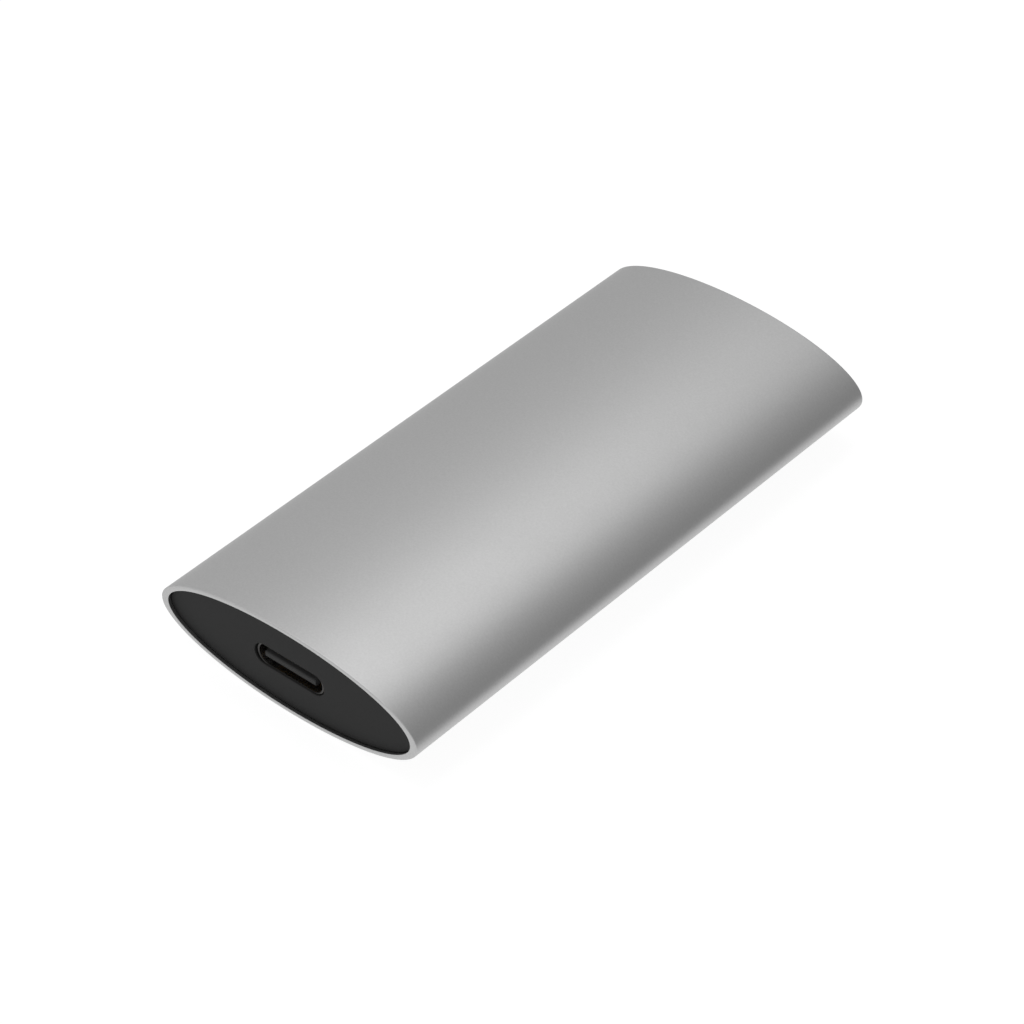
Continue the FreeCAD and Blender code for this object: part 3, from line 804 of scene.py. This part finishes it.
# %% [markdown]
# ## The port's contacts
# Twenty-four gold-plated strips lie along the tongue, twelve above and twelve below, and bend down to the
# board behind it. One pair is drawn from the side, an upper and a lower strip with bevelled noses, and the
# tree repeats it in a row that is centred on the tube's axis.

# %% Repeat the contacts
CONTACTS_PER_ROW = 12
CONTACT_PITCH_MM, CONTACT_WIDTH_MM, CONTACT_THICKNESS_MM = 0.5, 0.25, 0.12
TONGUE_THICKNESS_MM = 0.7
CONTACT_NOSE_MM = 0.05

contact_low, contact_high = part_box("port_contacts")
contact_front, upper_tail = contact_low.y / MM, contact_high.y / MM
lower_tail = shell_rear + (upper_tail - tongue_high.y / MM)
board_top = (contact_low.z - axis_height) / MM
upper_top = TONGUE_THICKNESS_MM / 2
lower_top = CONTACT_THICKNESS_MM - upper_top
work = bmesh.new()
for top, tail, is_upper in ((upper_top, upper_tail, True), (lower_top, lower_tail, False)):
    under = top - CONTACT_THICKNESS_MM
    nose_top = top - CONTACT_NOSE_MM if is_upper else top
    nose_under = under if is_upper else under + CONTACT_NOSE_MM
    outline = [
        (contact_front, nose_top),
        (contact_front + CONTACT_NOSE_MM, top),
        (tail - CONTACT_NOSE_MM, top),
        (tail, top - CONTACT_NOSE_MM),
        (tail, board_top),
        (tail - CONTACT_THICKNESS_MM, board_top),
        (tail - CONTACT_THICKNESS_MM, under),
        (contact_front + CONTACT_NOSE_MM, under),
        (contact_front, nose_under),
    ]
    draw_out(work, outline, -CONTACT_WIDTH_MM / 2, CONTACT_WIDTH_MM / 2)
pair_mesh = bpy.data.meshes.new("contact_pair")
fill_mesh(pair_mesh, work)
first_x = -(CONTACTS_PER_ROW - 1) / 2 * CONTACT_PITCH_MM * MM
row_settings = {
    "Count": CONTACTS_PER_ROW,
    "Pitch": (CONTACT_PITCH_MM * MM, 0.0, 0.0),
    "First Place": (first_x, 0.0, 0.0),
    "Finish": gold_plate,
}
contact_mesh = run_tree(row, pair_mesh, row_settings)
place_piece("port_contact_rows", contact_mesh, gold_plate, "port_contacts")

# %% [markdown]
# ## Camera
# The camera's place was solved from the drive's outline in the photograph: a long lens about 37 cm away,
# above and to the right of the port end. The three turns below are compass direction, height and a small
# roll.

# %% Place the camera
CAMERA_PLACE_MM = Vector((182.203, -216.270, 238.386))
AZIMUTH_DEGREES, ELEVATION_DEGREES, ROLL_DEGREES = 40.3626, 39.7691, 0.298
LENS_MM, SENSOR_MM = 125.26, 36.0
CLIP_START_MM = 10.0

lens = bpy.data.cameras.new("photo_camera")
lens.lens = LENS_MM
lens.sensor_width = SENSOR_MM
lens.clip_start = CLIP_START_MM * MM
camera = bpy.data.objects.new("photo_camera", lens)
turn = Matrix.Rotation(math.radians(AZIMUTH_DEGREES), 4, "Z")
tip_up = Matrix.Rotation(math.radians(90 - ELEVATION_DEGREES), 4, "X")
roll = Matrix.Rotation(math.radians(ROLL_DEGREES), 4, "Z")
camera.matrix_world = Matrix.Translation(CAMERA_PLACE_MM * MM) @ turn @ tip_up @ roll
bpy.context.scene.collection.objects.link(camera)
bpy.context.scene.camera = camera
bpy.context.scene.view_settings.view_transform = "Standard"
print("camera at mm:", [round(v) for v in CAMERA_PLACE_MM])

# %% [markdown]
# ## Paper
# The drive lies on a white sheet. Seen by the camera, or in a reflection, the sheet is lifted close to white
# by an emission that only those rays meet, and a little diffuse white on top keeps the drive's shadow. Every
# other ray meets a plain white sheet, so the floor bounces light as paper would. The sheet is coated, so
# where a reflection meets it at a low angle it mirrors the room instead, and the tube's flanks stay soft down
# to their edges.

# %% Paper finish
PAPER = "#EBEBEB"
SHADOW_PAPER = "#7C7C7C"
PAPER_LIFT = 0.90
COAT_POWER = 1.6
COAT_ROUGHNESS = 0.05

paper = bpy.data.materials.new("coated_white_paper")
paper.use_nodes = True
tree = paper.node_tree
tree.nodes.clear()
ray = add_node(tree, "ShaderNodeLightPath").outputs
seen = combine(tree, "MAXIMUM", ray["Is Camera Ray"], ray["Is Glossy Ray"])
seen = combine(tree, "MAXIMUM", seen, ray["Is Transmission Ray"])
plain = add_node(tree, "ShaderNodeBsdfDiffuse", {"Color": linear(PAPER)})
shadowed = add_node(tree, "ShaderNodeBsdfDiffuse", {"Color": linear(SHADOW_PAPER)})
lift = add_node(tree, "ShaderNodeEmission", {"Strength": PAPER_LIFT})
lifted = add_node(tree, "ShaderNodeAddShader", {0: shadowed.outputs["BSDF"], 1: lift.outputs["Emission"]})
low_angle = add_node(tree, "ShaderNodeLayerWeight").outputs["Facing"]
coat_share = combine(tree, "POWER", low_angle, COAT_POWER)
coat_share = combine(tree, "MULTIPLY", coat_share, ray["Is Glossy Ray"])
coat = add_node(tree, "ShaderNodeBsdfGlossy", {"Roughness": COAT_ROUGHNESS})
coated_inputs = {0: coat_share, 1: lifted.outputs["Shader"], 2: coat.outputs["BSDF"]}
coated = add_node(tree, "ShaderNodeMixShader", coated_inputs)
mixed_inputs = {0: seen, 1: plain.outputs["BSDF"], 2: coated.outputs["Shader"]}
mixed = add_node(tree, "ShaderNodeMixShader", mixed_inputs)
add_node(tree, "ShaderNodeOutputMaterial", {"Surface": mixed.outputs["Shader"]})
print("finish:", paper.name)

# %% [markdown]
# ## Floor
# The floor is one large square of that paper under the drive.

# %% Lay the floor
FLOOR_HALF_M = 1.5

floor_mesh = bpy.data.meshes.new("paper_floor")
corners = [(x * FLOOR_HALF_M, y * FLOOR_HALF_M, 0) for x, y in ((-1, -1), (1, -1), (1, 1), (-1, 1))]
floor_mesh.from_pydata(corners, [], [(0, 1, 2, 3)])
floor_mesh.materials.append(paper)
floor = bpy.data.objects.new("paper_floor", floor_mesh)
bpy.context.scene.collection.objects.link(floor)
print("floor side in m:", 2 * FLOOR_HALF_M)

# %% [markdown]
# ## Studio walls
# A satin metal shows the room more than its own colour. The photograph's tube has a dark band along its right
# shoulder and an even grey on its left, so the room grows dim behind the drive on the right. The world shader
# dims the walls by direction: it compares each direction with the dimmest one.

# %% Walls
BRIGHT_WALL, DIM_WALL = 1.01, 0.39
DIM_DIRECTION = Vector((0.737, 0.676, 0.0)).normalized()

studio = bpy.data.worlds.new("studio_walls")
studio.use_nodes = True
tree = studio.node_tree
tree.nodes.clear()
direction = add_node(tree, "ShaderNodeTexCoord").outputs["Generated"]
facing_inputs = {0: direction, 1: DIM_DIRECTION}
facing = add_node(tree, "ShaderNodeVectorMath", facing_inputs, operation="DOT_PRODUCT")
wall_inputs = {
    "Value": facing.outputs["Value"],
    "From Min": -1.0,
    "From Max": 1.0,
    "To Min": BRIGHT_WALL,
    "To Max": DIM_WALL,
}
walls = add_node(tree, "ShaderNodeMapRange", wall_inputs)
background = add_node(tree, "ShaderNodeBackground", {"Strength": walls.outputs["Result"]})
add_node(tree, "ShaderNodeOutputWorld", {"Surface": background.outputs["Background"]})
bpy.context.scene.world = studio
print("walls from", BRIGHT_WALL, "to", DIM_WALL)

# %% [markdown]
# ## Softbox
# The bright band along the tube's crown is the reflection of a long softbox overhead. It is an area light
# whose long side lies parallel to the tube, so that the band keeps its width from end to end.

# %% Hang the softbox
SOFTBOX_DIRECTION = Vector((-0.195, 0.179, 0.964)).normalized()
SOFTBOX_DISTANCE_M = 0.4
SOFTBOX_SIZE_M = (0.20, 0.43)
SOFTBOX_WATTS = 0.33
TUBE_AXIS = Vector((0, 1, 0))

softbox_data = bpy.data.lights.new("softbox", "AREA")
softbox_data.shape = "RECTANGLE"
softbox_data.size, softbox_data.size_y = SOFTBOX_SIZE_M
softbox_data.energy = SOFTBOX_WATTS
softbox = bpy.data.objects.new("softbox", softbox_data)
across = TUBE_AXIS.cross(SOFTBOX_DIRECTION).normalized()
along = SOFTBOX_DIRECTION.cross(across)
softbox_turn = Matrix((across, along, SOFTBOX_DIRECTION)).transposed().to_4x4()
softbox.matrix_world = Matrix.Translation(SOFTBOX_DIRECTION * SOFTBOX_DISTANCE_M) @ softbox_turn
bpy.context.scene.collection.objects.link(softbox)
print("softbox radiance:", round(SOFTBOX_WATTS / (math.pi * math.prod(SOFTBOX_SIZE_M)), 2))
